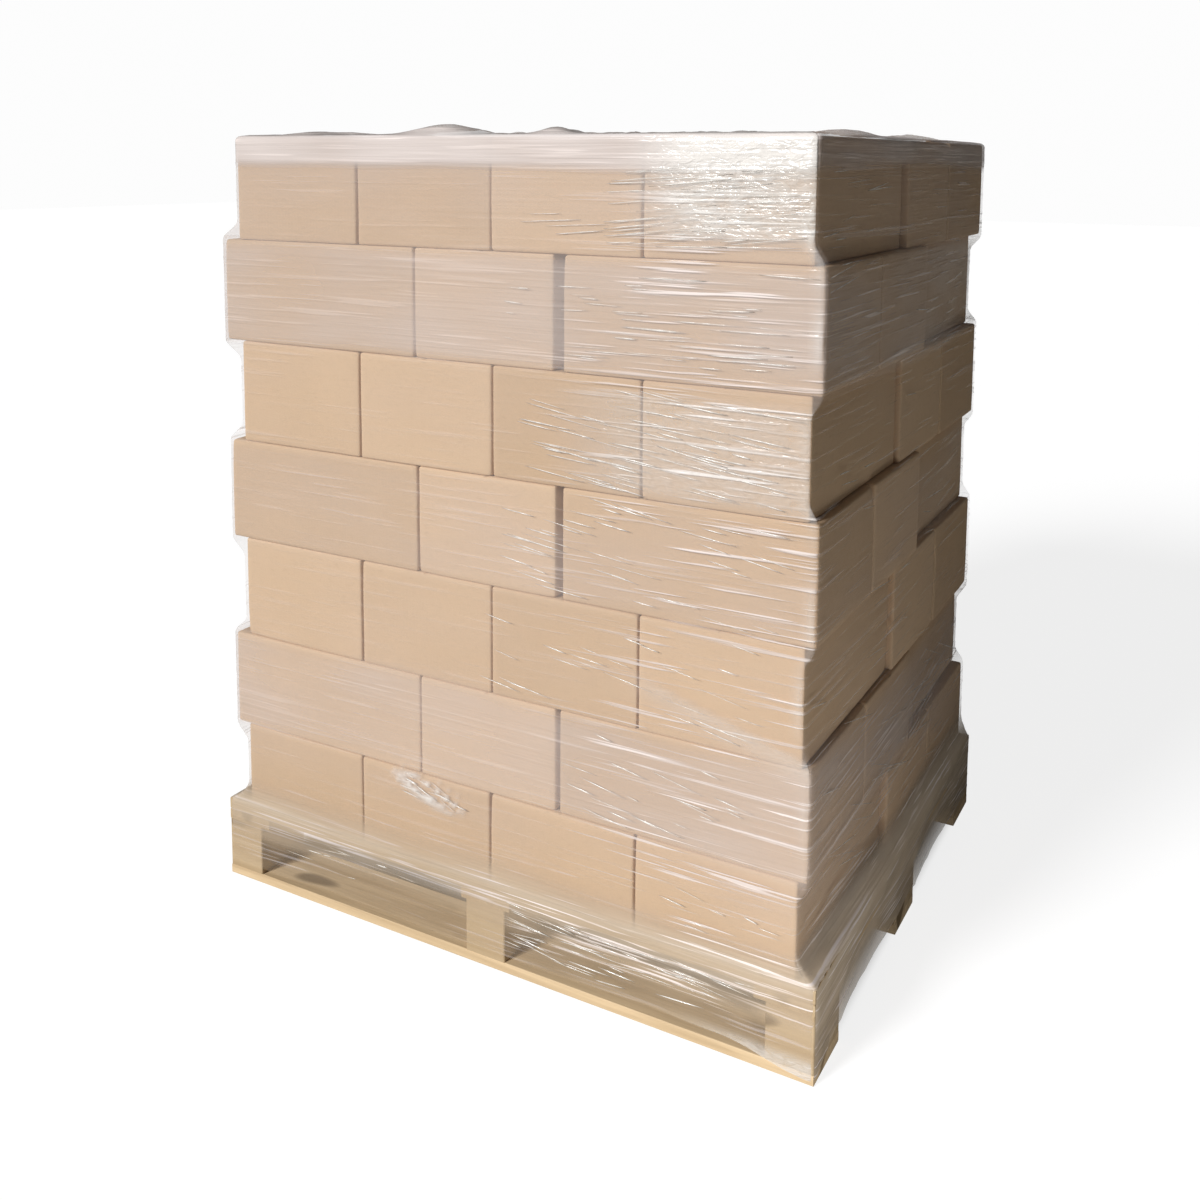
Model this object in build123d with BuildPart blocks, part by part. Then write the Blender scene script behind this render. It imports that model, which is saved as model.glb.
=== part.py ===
from build123d import *
import os

os.makedirs("parts", exist_ok=True)

# Pallet: a four-way block pallet, bottom boards along its long side only
PALLET_LENGTH = 1200
PALLET_WIDTH = 1000
SKID_THICKNESS = 18
BLOCK_LENGTH = 80
BLOCK_WIDTH = 120
BLOCK_HEIGHT = 95
CROSS_BOARD_WIDTH = 100
CROSS_BOARD_THICKNESS = 20
DECK_BOARD_COUNT = 7
DECK_BOARD_WIDTH = 112
DECK_BOARD_THICKNESS = 22
BOARD_EDGE = 1.5

# Cartons: one size, standing on the pallet in seven interlocked layers
CARTON_LONG = 434
CARTON_SHORT = 276
CARTON_CREASE = 3
FLAP_SEAM_WIDTH = 2
FLAP_SEAM_DEPTH = 1.2
CARTON_GAP = 3
ROW_GAP = 6
LAYER_CLEARANCE = 0.3

# Height of each layer from the deck up: the lowest cartons are crushed by the load on them
LAYER_HEIGHTS = (163, 179, 189, 188, 189, 189, 186)

# Right end of the row of four and of the long-short-long row in each layer, and
# the open joint beside the short carton of that second row
FOUR_ROW_END = (566, 560, 570, 562, 572, 560, 571)
THREE_ROW_END = (578, 582, 580, 586, 580, 588, 582)
OPEN_JOINT = (5, 8, 5, 12, 6, 20, 5)

# Stretch film: a thin skin round the load and most of the pallet's height
FILM_THICKNESS = 1
FILM_CLEARANCE = 0.5
FILM_LOWER_EDGE = 42
FILM_BRIDGE = 28
FILM_FLARE = 24
FILM_TOP_LAP = 70

block_base = SKID_THICKNESS
cross_base = block_base + BLOCK_HEIGHT
deck_base = cross_base + CROSS_BOARD_THICKNESS
deck_top = deck_base + DECK_BOARD_THICKNESS
block_x = (PALLET_LENGTH - BLOCK_LENGTH) / 2
block_y = (PALLET_WIDTH - BLOCK_WIDTH) / 2
load_depth = CARTON_LONG + 2 * CARTON_SHORT + 2 * ROW_GAP
four_row_length = 4 * CARTON_SHORT + 3 * CARTON_GAP
layer_count = len(LAYER_HEIGHTS)


def save(solids, name):
    solids.part.label = name
    export_step(solids.part, f"parts/{name}.step")


def layer_base(number):
    return deck_top + sum(LAYER_HEIGHTS[: number - 1])


def facing(number):
    """1 where the row of four faces the front, -1 where the layer is turned round."""
    return 1 if number % 2 else -1


def row_places(number):
    """Centre and plan size of each carton in a layer, as (x, y, size along x, size along y)."""
    turn = facing(number)
    four_end = FOUR_ROW_END[number - 1]
    three_end = THREE_ROW_END[number - 1]
    open_joint = OPEN_JOINT[number - 1]
    places = []
    y = -turn * (load_depth - CARTON_LONG) / 2
    for i in range(4):
        x = four_end - CARTON_SHORT / 2 - i * (CARTON_SHORT + CARTON_GAP)
        places.append((x, y, CARTON_SHORT, CARTON_LONG))
    right_x = three_end - CARTON_LONG / 2
    short_x = three_end - CARTON_LONG - open_joint - CARTON_SHORT / 2
    left_x = short_x - (CARTON_SHORT + CARTON_LONG) / 2 - CARTON_GAP
    outer_y = turn * (load_depth - CARTON_SHORT) / 2
    inner_y = outer_y - turn * (CARTON_SHORT + ROW_GAP)
    for x in (right_x, left_x):
        for y in (outer_y, inner_y):
            places.append((x, y, CARTON_LONG, CARTON_SHORT))
    places.append((short_x, turn * (load_depth - CARTON_LONG) / 2, CARTON_SHORT, CARTON_LONG))
    return places


def layer_outline(number):
    """Six corners of a layer's plan as the film sees it, from front left, anticlockwise."""
    turn = facing(number)
    four_right = FOUR_ROW_END[number - 1]
    four_left = four_right - four_row_length
    three_right = THREE_ROW_END[number - 1]
    three_left = three_right - 2 * CARTON_LONG - CARTON_SHORT - CARTON_GAP - OPEN_JOINT[number - 1]
    step = turn * (CARTON_LONG + ROW_GAP - load_depth / 2)
    half = load_depth / 2
    if turn > 0:
        front_left, back_left = four_left, three_left
        front_right, back_right = four_right, three_right
    else:
        front_left, back_left = three_left, four_left
        front_right, back_right = three_right, four_right
    return [
        (front_left, -half),
        (front_right, -half),
        (three_right, step),
        (back_right, half),
        (back_left, half),
        (three_left, step),
    ]


def both_outlines(one, other):
    """The outline that clears two layers where they meet."""
    right = max(x for x, y in one + other)
    left = min(x for x, y in one + other)
    half = load_depth / 2
    return [(left, -half), (right, -half), (right, 0), (right, half), (left, half), (left, 0)]


def pallet_outline():
    x, y = PALLET_LENGTH / 2, PALLET_WIDTH / 2
    return [(-x, -y), (x, -y), (x, 0), (x, y), (-x, y), (-x, 0)]


def grown(outline, distance):
    """The outline moved outward; its two middle corners move along x only."""
    moved = []
    for x, y in outline:
        along_y = 0 if abs(y) < load_depth / 4 else distance
        moved.append((x + (distance if x > 0 else -distance), y + (along_y if y > 0 else -along_y)))
    return moved


def film_levels():
    """Heights and plan outlines that the film passes through, from its lower edge up."""
    levels = [(FILM_LOWER_EDGE, pallet_outline()), (deck_top + 2, pallet_outline())]
    for number in range(1, layer_count + 1):
        base = layer_base(number)
        height = LAYER_HEIGHTS[number - 1]
        outline = layer_outline(number)
        if number == 1:
            levels.append((base + FILM_FLARE, outline))
        else:
            levels.append((base, both_outlines(layer_outline(number - 1), outline)))
            levels.append((base + FILM_BRIDGE, outline))
        if number < layer_count:
            levels.append((base + height - FILM_BRIDGE, outline))
    return levels


load_top = layer_base(layer_count) + LAYER_HEIGHTS[-1]

with BuildPart() as skids:
    with Locations(*[(0, y, SKID_THICKNESS / 2) for y in (-block_y, 0, block_y)]):
        Box(PALLET_LENGTH, BLOCK_WIDTH, SKID_THICKNESS)
    chamfer(skids.edges().filter_by(Axis.X), BOARD_EDGE)
save(skids, "pallet_bottom_boards")

with BuildPart() as blocks:
    with Locations((0, 0, block_base + BLOCK_HEIGHT / 2)):
        with GridLocations(block_x, block_y, 3, 3):
            Box(BLOCK_LENGTH, BLOCK_WIDTH, BLOCK_HEIGHT)
    chamfer(blocks.edges().filter_by(Axis.Z), BOARD_EDGE)
save(blocks, "pallet_blocks")

with BuildPart() as cross_boards:
    cross_x = (PALLET_LENGTH - CROSS_BOARD_WIDTH) / 2
    with Locations(*[(x, 0, cross_base + CROSS_BOARD_THICKNESS / 2) for x in (-cross_x, 0, cross_x)]):
        Box(CROSS_BOARD_WIDTH, PALLET_WIDTH, CROSS_BOARD_THICKNESS)
    chamfer(cross_boards.edges().filter_by(Axis.Y), BOARD_EDGE)
save(cross_boards, "pallet_cross_boards")

with BuildPart() as deck_boards:
    deck_pitch = (PALLET_WIDTH - DECK_BOARD_WIDTH) / (DECK_BOARD_COUNT - 1)
    with Locations((0, 0, deck_base + DECK_BOARD_THICKNESS / 2)):
        with GridLocations(0, deck_pitch, 1, DECK_BOARD_COUNT):
            Box(PALLET_LENGTH, DECK_BOARD_WIDTH, DECK_BOARD_THICKNESS)
    chamfer(deck_boards.edges().filter_by(Axis.X), BOARD_EDGE)
save(deck_boards, "pallet_deck_boards")

for number in range(1, layer_count + 1):
    height = LAYER_HEIGHTS[number - 1] - LAYER_CLEARANCE
    base = layer_base(number)
    with BuildPart() as cartons:
        for x, y, size_x, size_y in row_places(number):
            with Locations((x, y, base + height / 2)):
                Box(size_x, size_y, height)
        chamfer(cartons.edges(), CARTON_CREASE)
        for x, y, size_x, size_y in row_places(number):
            seam_x = size_x if size_x > size_y else FLAP_SEAM_WIDTH
            seam_y = FLAP_SEAM_WIDTH if size_x > size_y else size_y
            with Locations((x, y, base + height)):
                Box(seam_x, seam_y, 2 * FLAP_SEAM_DEPTH, mode=Mode.SUBTRACT)
    save(cartons, f"cartons_layer_{number}")

with BuildPart() as film:
    outside = FILM_CLEARANCE + FILM_THICKNESS
    for z, outline in film_levels() + [(load_top + outside, layer_outline(layer_count))]:
        with BuildSketch(Plane.XY.offset(z)):
            with BuildLine():
                Polyline(*grown(outline, outside), close=True)
            make_face()
    loft(ruled=True)
    under = (FILM_LOWER_EDGE - 10, pallet_outline())
    for z, outline in [under] + film_levels() + [(load_top + FILM_CLEARANCE, layer_outline(layer_count))]:
        with BuildSketch(Plane.XY.offset(z)):
            with BuildLine():
                Polyline(*grown(outline, FILM_CLEARANCE), close=True)
            make_face()
    loft(ruled=True, mode=Mode.SUBTRACT)
    top_middle = (FOUR_ROW_END[-1] - four_row_length / 2, 0, load_top)
    with Locations(top_middle):
        Box(four_row_length - 2 * FILM_TOP_LAP, load_depth - 2 * FILM_TOP_LAP, 10, mode=Mode.SUBTRACT)
save(film, "stretch_film")
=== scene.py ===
"""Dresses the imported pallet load: cartons, stretch film, wooden pallet and a pale studio stage."""

import math
import random

import bmesh
import bpy
from mathutils import Matrix, Vector, noise


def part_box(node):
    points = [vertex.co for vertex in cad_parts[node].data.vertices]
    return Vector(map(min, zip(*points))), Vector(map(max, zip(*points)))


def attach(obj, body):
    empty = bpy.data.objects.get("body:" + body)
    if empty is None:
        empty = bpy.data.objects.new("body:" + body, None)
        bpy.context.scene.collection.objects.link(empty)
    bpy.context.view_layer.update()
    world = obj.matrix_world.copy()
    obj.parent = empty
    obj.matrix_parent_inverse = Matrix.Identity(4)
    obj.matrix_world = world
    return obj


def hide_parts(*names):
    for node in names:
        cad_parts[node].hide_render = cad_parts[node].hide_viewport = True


bl_info = {
    "name": "Wrapped Pallet Load",
    "version": (1, 0, 0),
    "blender": (4, 5, 0),
    "location": "View3D > Sidebar > Pallet Load",
    "description": "Builds a stretch wrapped load of cartons on a block pallet",
    "category": "Object",
}

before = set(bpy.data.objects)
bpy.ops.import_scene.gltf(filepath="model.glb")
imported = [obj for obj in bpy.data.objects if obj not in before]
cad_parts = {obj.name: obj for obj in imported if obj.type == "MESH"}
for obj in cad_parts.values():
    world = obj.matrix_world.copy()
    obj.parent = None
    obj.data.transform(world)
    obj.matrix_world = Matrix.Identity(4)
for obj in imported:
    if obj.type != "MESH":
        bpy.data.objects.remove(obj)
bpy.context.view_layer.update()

LAYER_NODES = [f"cartons_layer_{number}" for number in range(1, 8)]
PALLET_NODES = ("pallet_bottom_boards", "pallet_cross_boards", "pallet_deck_boards", "pallet_blocks")
PALLET_HALF_LENGTH, PALLET_HALF_WIDTH, DECK_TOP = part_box("pallet_deck_boards")[1]
LOAD_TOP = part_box(LAYER_NODES[-1])[1].z


class PalletLoadSettings(bpy.types.PropertyGroup):
    """Sizes and colours of the wrapped load."""

    crease_radius: bpy.props.FloatProperty(
        name="Crease radius", description="Rounding of a carton's folded edges",
        default=0.0045, min=0.001, max=0.01, subtype="DISTANCE", unit="LENGTH")
    bulge: bpy.props.FloatProperty(
        name="Carton bulge", description="How far a carton's outer wall swells at its middle",
        default=0.0022, min=0.0, max=0.006, subtype="DISTANCE", unit="LENGTH")
    carton_seed: bpy.props.IntProperty(
        name="Carton seed", description="Seed of the differences between cartons", default=11)
    carton_light: bpy.props.FloatVectorProperty(
        name="Light board", description="Palest kraft board", subtype="COLOR",
        size=3, min=0.0, max=1.0, default=(0.66, 0.475, 0.31))
    carton_dark: bpy.props.FloatVectorProperty(
        name="Dark board", description="Darkest kraft board", subtype="COLOR",
        size=3, min=0.0, max=1.0, default=(0.57, 0.4, 0.25))
    film_lift: bpy.props.FloatProperty(
        name="Film lift", description="Distance from the cartons to the film round them",
        default=0.004, min=0.001, max=0.01, subtype="DISTANCE", unit="LENGTH")
    film_bridge: bpy.props.FloatProperty(
        name="Film bridge",
        description="Height over which the film crosses from a wide layer to a narrow one",
        default=0.034, min=0.005, max=0.08, subtype="DISTANCE", unit="LENGTH")
    film_lap: bpy.props.FloatProperty(
        name="Top lap", description="Width of the film folded over the top edge",
        default=0.085, min=0.02, max=0.2, subtype="DISTANCE", unit="LENGTH")
    film_seed: bpy.props.IntProperty(
        name="Film seed", description="Seed of the folds in the film", default=5)
    film_colour: bpy.props.FloatVectorProperty(
        name="Film haze", description="Colour of the haze of many film layers", subtype="COLOR",
        size=3, min=0.0, max=1.0, default=(0.80, 0.715, 0.68))
    low_film_colour: bpy.props.FloatVectorProperty(
        name="Low film haze", description="Colour of the haze of the film round the pallet", subtype="COLOR",
        size=3, min=0.0, max=1.0, default=(0.72, 0.58, 0.43))
    wood_light: bpy.props.FloatVectorProperty(
        name="Light wood", description="Pale wood between the grain lines", subtype="COLOR",
        size=3, min=0.0, max=1.0, default=(0.56, 0.425, 0.265))
    wood_dark: bpy.props.FloatVectorProperty(
        name="Dark wood", description="Grain lines and knots", subtype="COLOR",
        size=3, min=0.0, max=1.0, default=(0.37, 0.245, 0.125))
    nail_radius: bpy.props.FloatProperty(
        name="Nail head radius", description="Radius of a pallet nail's head",
        default=0.004, min=0.002, max=0.008, subtype="DISTANCE", unit="LENGTH")
    key_strength: bpy.props.FloatProperty(
        name="Key light", description="Strength of the lamp on the long face",
        default=3.6, min=0.0, max=10.0)
    low_strength: bpy.props.FloatProperty(
        name="Low light", description="Power of the lamp beside the near corner, in watts",
        default=2.3, min=0.0, max=50.0)
    room_strength: bpy.props.FloatProperty(
        name="Room light", description="Strength of the even light all round",
        default=0.062, min=0.0, max=2.0)


def settings():
    """The sizes and colours as set in the scene."""
    return bpy.context.scene.pallet_load


def clamp(value, low=0.0, high=1.0):
    return max(low, min(high, value))


def ease(low, high, value):
    """0 below low, 1 above high, smooth between."""
    t = clamp((value - low) / (high - low))
    return t * t * (3 - 2 * t)


def blend(a, b, t):
    return a + (b - a) * t


def add_object(name, data):
    made = bpy.data.objects.new(name, data)
    bpy.context.collection.objects.link(made)
    return made


def new_piece(name, mesh):
    """Adds a mesh as a piece of the load."""
    piece = add_object(name, mesh)
    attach(piece, "root")
    return piece


def settle(piece):
    """Puts the plain result of a piece's modifiers in place of its mesh."""
    graph = bpy.context.evaluated_depsgraph_get()
    mesh = bpy.data.meshes.new_from_object(piece.evaluated_get(graph), depsgraph=graph)
    piece.modifiers.clear()
    before = piece.data
    piece.data = mesh
    bpy.data.meshes.remove(before)


# Cartons

# Sizes of a carton's mesh, swelling, dents and top seam, in metres
MESH_SPACING = 0.045
CREASE_APRON = 0.008
WELD_DISTANCE = 1e-5
ROW_TOLERANCE = 0.02
# Lowest layers swell more under the load: layer number from 0, and how many times as much
EXTRA_SWELL = {0: 2.0, 1: 1.5}
WALL_LIMIT = 0.97
SWELL_POWER = 0.7
SWELL_SHARES = (0.35, 1.0)
MOST_TURN = 0.0035
MOST_INSET = 0.0025
DENT_DEPTHS = (0.001, 0.004)
DENT_REACH = 0.04
SEAM_HALF_WIDTH = 0.002
SEAM_DEPTH = 0.0012
SEAM_ROOM = 0.01
SEAM_LINES = (-0.005, -SEAM_HALF_WIDTH, 0.0, SEAM_HALF_WIDTH, 0.005)
RUBBED_WIDTH = 0.004


def carton_boxes(node):
    """Lowest and highest corner of each carton in a CAD node."""
    joined = bmesh.new()
    joined.from_mesh(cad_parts[node].data)
    bmesh.ops.remove_doubles(joined, verts=joined.verts, dist=WELD_DISTANCE)
    joined.verts.ensure_lookup_table()
    seen, boxes = set(), []
    for start in joined.verts:
        if start.index in seen:
            continue
        seen.add(start.index)
        stack, found = [start], []
        while stack:
            vert = stack.pop()
            found.append(vert.co.copy())
            for edge in vert.link_edges:
                other = edge.other_vert(vert)
                if other.index not in seen:
                    seen.add(other.index)
                    stack.append(other)
        low = Vector([min(p[axis] for p in found) for axis in range(3)])
        high = Vector([max(p[axis] for p in found) for axis in range(3)])
        boxes.append((low, high))
    joined.free()
    return sorted(boxes, key=lambda pair: (round(pair[0].y, 4), round(pair[0].x, 4)))


def ends_along_x(boxes):
    """Where some cartons end along x, on each side."""
    return {-1: min(low.x for low, high in boxes), 1: max(high.x for low, high in boxes)}


class Layer:
    """What the film needs to know of one layer of cartons."""

    def __init__(self, node):
        self.boxes = carton_boxes(node)
        self.low = min(low.z for low, high in self.boxes)
        self.high = max(high.z for low, high in self.boxes)
        front = min(low.y for low, high in self.boxes)
        back = max(high.y for low, high in self.boxes)
        front_row = [pair for pair in self.boxes if pair[0].y < front + ROW_TOLERANCE]
        back_row = [pair for pair in self.boxes if pair[1].y > back - ROW_TOLERANCE]
        if len(front_row) == 4:
            four, self.four_y = front_row, front
            self.step_y = max(high.y for low, high in front_row)
        else:
            four, self.four_y = back_row, back
            self.step_y = min(low.y for low, high in back_row)
        self.four, self.wide = ends_along_x(four), ends_along_x(self.boxes)

    def reach(self, side, y):
        """How far the layer reaches to one side, as taut film passes from row to row."""
        t = clamp((y - self.four_y) / (self.step_y - self.four_y))
        return blend(self.four[side], self.wide[side], t)


LAYERS = [Layer(node) for node in LAYER_NODES]


def crease_steps(low, high, radius):
    """Places for mesh lines along one side of a carton, close together at its creases."""
    edge = [0.0, 0.3 * radius, radius, radius + CREASE_APRON]
    inside_low, inside_high = low + edge[-1], high - edge[-1]
    count = max(2, round((inside_high - inside_low) / MESH_SPACING))
    inside = [blend(inside_low, inside_high, i / count) for i in range(1, count)]
    return [low + e for e in edge] + inside + [high - e for e in reversed(edge)]


def add_carton(shape, low, high, layer_number, rng, edge_layer, tint_layer, choice):
    """Adds one closed carton with rounded creases, swollen walls and dented corners."""
    radius = choice.crease_radius
    steps = [crease_steps(low[a], high[a], radius) for a in range(3)]
    middle = (low + high) / 2
    half = (high - low) / 2
    squash = EXTRA_SWELL.get(layer_number, 1.0)
    bulges = [choice.bulge * squash * rng.uniform(*SWELL_SHARES) for _ in range(4)]
    turn = rng.uniform(-MOST_TURN, MOST_TURN)
    inset = rng.uniform(0.0, MOST_INSET)
    dents = [(rng.randrange(8), rng.uniform(*DENT_DEPTHS)) for _ in range(2)]
    tint = rng.random()
    corners = [Vector([(low, high)[(i >> a) & 1][a] for a in range(3)]) for i in range(8)]
    outward = Vector((0, -1 if middle.y < 0 else 1, 0))
    spin = Matrix.Rotation(turn, 3, "Z")
    seam_axis = 1 if half.x > half.y else 0
    seam = middle[seam_axis]
    steps[seam_axis] = sorted([s for s in steps[seam_axis] if abs(s - seam) > SEAM_ROOM]
                              + [seam + away for away in SEAM_LINES])
    last = [len(s) - 1 for s in steps]
    verts = {}

    def place(i, j, k):
        key = (i, j, k)
        if key in verts:
            return verts[key]
        raw = Vector((steps[0][i], steps[1][j], steps[2][k]))
        core = Vector([clamp(raw[a], low[a] + radius, high[a] - radius) for a in range(3)])
        over = raw - core
        near = over.length
        point = core + over.normalized() * radius if near > 1e-9 else raw.copy()
        unit = Vector([(point[a] - middle[a]) / half[a] for a in range(3)])
        up = max(0.0, 1 - unit.z ** 2)
        for side, (axis, sign) in enumerate(((0, -1), (0, 1), (1, -1), (1, 1))):
            if sign * unit[axis] > WALL_LIMIT:
                across = max(0.0, 1 - unit[1 - axis] ** 2)
                point[axis] += sign * bulges[side] * across ** SWELL_POWER * up ** SWELL_POWER
        for corner, depth in dents:
            away = (raw - corners[corner]).length
            if away < DENT_REACH:
                inward = (middle - corners[corner]).normalized()
                point += inward * depth * (1 - away / DENT_REACH) ** 2
        if k == last[2] and abs(raw[seam_axis] - seam) < SEAM_HALF_WIDTH:
            point.z -= SEAM_DEPTH
        point = spin @ (point - middle) + middle - outward * inset
        point.x += 0.0004 * noise.noise(raw * 25)
        point.y += 0.0005 * noise.noise(raw * 22 + Vector((5, 5, 5)))
        vert = shape.verts.new(point)
        edge_distance = sorted(min(raw[a] - low[a], high[a] - raw[a]) for a in range(3))[1]
        vert[edge_layer] = clamp(1 - edge_distance / (radius + RUBBED_WIDTH))
        vert[tint_layer] = tint
        verts[key] = vert
        return vert

    for axis in range(3):
        first, second = [a for a in range(3) if a != axis]
        for end in (0, last[axis]):
            for i in range(last[first]):
                for j in range(last[second]):
                    ring = []
                    for di, dj in ((0, 0), (1, 0), (1, 1), (0, 1)):
                        place_at = [0, 0, 0]
                        place_at[axis], place_at[first], place_at[second] = end, i + di, j + dj
                        ring.append(place(*place_at))
                    if (end == 0) != (axis == 1):
                        ring.reverse()
                    shape.faces.new(ring).smooth = True


def carton_piece(number, rng, choice, board):
    """One layer of cartons as a piece, in place of its CAD node."""
    shape = bmesh.new()
    edge_layer = shape.verts.layers.float.new("crease")
    tint_layer = shape.verts.layers.float.new("tint")
    for low, high in LAYERS[number].boxes:
        add_carton(shape, low, high, number, rng, edge_layer, tint_layer, choice)
    name = f"packed_cartons_{number + 1}"
    mesh = bpy.data.meshes.new(name)
    shape.to_mesh(mesh)
    shape.free()
    mesh.materials.append(board)
    piece = new_piece(name, mesh)
    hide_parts(LAYER_NODES[number])


# Materials

FLUTE_PITCH = 0.0072
# Near-white of the film's painted glare, also used for its whiter crumpled film and edges
GLARE_COLOUR = (0.9, 0.87, 0.83)
FILM_IOR = 1.5


class NodeMaker:
    """A node tree under construction, with the short calls that materials and meshes share."""

    def link(self, start, end):
        self.tree.links.new(start, end)

    def feed(self, socket, value):
        if isinstance(value, bpy.types.NodeSocket):
            self.link(value, socket)
        else:
            socket.default_value = value

    def math(self, operation, first, second=0.0, third=0.0, limit=False):
        node = self.tree.nodes.new("ShaderNodeMath")
        node.operation = operation
        node.use_clamp = limit
        for socket, value in zip(node.inputs, (first, second, third)):
            self.feed(socket, value)
        return node.outputs[0]

    def times(self, first, second):
        return self.math("MULTIPLY", first, second)


class Recipe(NodeMaker):
    """A material under construction, with short calls for the nodes it needs."""

    def __init__(self, name):
        self.material = bpy.data.materials.new(name)
        self.material.use_nodes = True
        self.tree = self.material.node_tree
        self.shader = self.tree.nodes["Principled BSDF"]
        self.coords = self.tree.nodes.new("ShaderNodeTexCoord").outputs["Object"]

    def spread(self, value, low, high, to_low=0.0, to_high=1.0):
        node = self.tree.nodes.new("ShaderNodeMapRange")
        node.interpolation_type = "SMOOTHSTEP"
        for key, given in (("Value", value), ("From Min", low), ("From Max", high),
                           ("To Min", to_low), ("To Max", to_high)):
            self.feed(node.inputs[key], given)
        return node.outputs[0]

    def noise(self, scale, turn=(0, 0, 0), detail=3.0, roughness=0.5, distortion=0.0):
        """Noise with its own number of spots per metre along x, y and z."""
        stretched = self.tree.nodes.new("ShaderNodeMapping")
        stretched.inputs["Scale"].default_value = scale
        stretched.inputs["Rotation"].default_value = turn
        self.link(self.coords, stretched.inputs["Vector"])
        node = self.tree.nodes.new("ShaderNodeTexNoise")
        node.inputs["Scale"].default_value = 1.0
        node.inputs["Detail"].default_value = detail
        node.inputs["Roughness"].default_value = roughness
        node.inputs["Distortion"].default_value = distortion
        self.link(stretched.outputs[0], node.inputs["Vector"])
        return node.outputs["Fac"]

    def attribute(self, name):
        node = self.tree.nodes.new("ShaderNodeAttribute")
        node.attribute_name = name
        return node.outputs["Fac"]

    def mix(self, factor, first, second):
        node = self.tree.nodes.new("ShaderNodeMix")
        node.data_type = "RGBA"
        for key, value in (("Factor", factor), ("A", first), ("B", second)):
            socket = next(s for s in node.inputs if s.name == key and s.enabled
                          and (key == "Factor" or s.type == "RGBA"))
            self.feed(socket, (*value, 1.0) if isinstance(value, tuple) and len(value) == 3 else value)
        return next(s for s in node.outputs if s.type == "RGBA")

    def bump(self, height, strength, distance):
        node = self.tree.nodes.new("ShaderNodeBump")
        node.inputs["Strength"].default_value = strength
        node.inputs["Distance"].default_value = distance
        self.link(height, node.inputs["Height"])
        self.link(node.outputs[0], self.shader.inputs["Normal"])

    def split(self):
        node = self.tree.nodes.new("ShaderNodeSeparateXYZ")
        self.link(self.coords, node.inputs[0])
        return node.outputs

    def finish(self, **looks):
        """Feeds the shader's inputs, an underscore standing for a space, and gives the material."""
        for key, value in looks.items():
            self.feed(self.shader.inputs[key.replace("_", " ")], value)
        return self.material


def kraft_board(choice):
    """Kraft liner: mottled pulp, faint vertical flutes, rubbed creases."""
    recipe = Recipe("kraft_board")
    light, dark = tuple(choice.carton_light), tuple(choice.carton_dark)
    cloud = recipe.noise((4, 4, 6), detail=2, roughness=0.6)
    pulp = recipe.noise((70, 70, 160), detail=3, roughness=0.7)
    shade = recipe.math("ADD", recipe.times(recipe.attribute("tint"), 0.55), recipe.times(cloud, 0.45))
    body = recipe.mix(recipe.spread(shade, 0.15, 0.85), light, dark)
    flecked = recipe.mix(recipe.spread(pulp, 0.55, 0.8, 0.0, 0.3), body, tuple(c * 0.72 for c in dark))
    rubbed = recipe.mix(recipe.times(recipe.attribute("crease"), 0.35), flecked,
                        tuple(min(1.0, c * 1.12) for c in light))
    x, y, _ = recipe.split()
    flute = recipe.math("SINE", recipe.times(recipe.math("ADD", x, y), math.tau / FLUTE_PITCH))
    relief = recipe.math("ADD", recipe.times(flute, 0.12), pulp)
    recipe.bump(relief, 0.35, 0.0006)
    return recipe.finish(Base_Color=rubbed, Roughness=recipe.spread(pulp, 0.3, 0.7, 0.72, 0.88),
                         Specular_IOR_Level=0.25)


def pallet_wood(name, along, choice, lit_paleness=1.0):
    """Rough sawn softwood whose grain runs along x or y."""
    recipe = Recipe(name)
    # A paleness above 1 paints the light wood paler: painted highlight for boards that lie in the light
    light = tuple(min(1.0, c * lit_paleness) for c in choice.wood_light)
    dark = tuple(choice.wood_dark)

    def along_grain(length, across, up):
        return (length, across, up) if along == "x" else (across, length, up)

    rings = recipe.noise(along_grain(1.6, 34, 34), detail=3, roughness=0.55, distortion=0.6)
    boards = recipe.noise(along_grain(0.8, 9, 3), detail=1)
    fibres = recipe.noise(along_grain(7, 160, 160), detail=4, roughness=0.7)
    knots = recipe.noise(along_grain(5, 14, 14), detail=0)
    body = recipe.mix(recipe.spread(rings, 0.35, 0.7, 0.0, 0.55), light, dark)
    toned = recipe.mix(recipe.spread(boards, 0.35, 0.65, 0.0, 0.35), body, tuple(c * 0.8 for c in light))
    knotted = recipe.mix(recipe.spread(knots, 0.7, 0.77, 0.0, 0.85), toned, tuple(c * 0.45 for c in dark))
    rough = recipe.mix(recipe.spread(fibres, 0.5, 0.8, 0.0, 0.4), knotted, dark)
    recipe.bump(recipe.math("ADD", recipe.times(rings, 0.6), fibres), 0.5, 0.001)
    return recipe.finish(Base_Color=rough, Roughness=0.8, Specular_IOR_Level=0.3)


def nail_steel():
    """Steel of the nail heads, spotted with rust."""
    recipe = Recipe("nail_steel")
    rust = recipe.noise((220, 220, 220), detail=3)
    spotted = recipe.mix(recipe.spread(rust, 0.45, 0.65), (0.32, 0.31, 0.3), (0.2, 0.1, 0.05))
    return recipe.finish(Base_Color=spotted, Roughness=recipe.spread(rust, 0.3, 0.7, 0.35, 0.7), Metallic=0.8)


# Height and haze of the film from the floor up: more layers of film lie where it is hazier
FILM_HAZE = (
    (0.0, 0.10), (0.075, 0.14), (0.105, 0.34), (0.18, 0.36), (0.225, 0.14), (0.31, 0.16), (0.345, 0.34),
    (0.47, 0.34), (0.51, 0.15), (0.67, 0.13), (0.71, 0.22), (0.85, 0.2), (0.89, 0.11), (1.05, 0.12),
    (1.08, 0.38), (1.23, 0.38), (1.26, 0.22), (1.385, 0.26), (1.405, 0.72), (1.46, 0.72),
)
HAZE_TOP = FILM_HAZE[-1][0]


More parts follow.
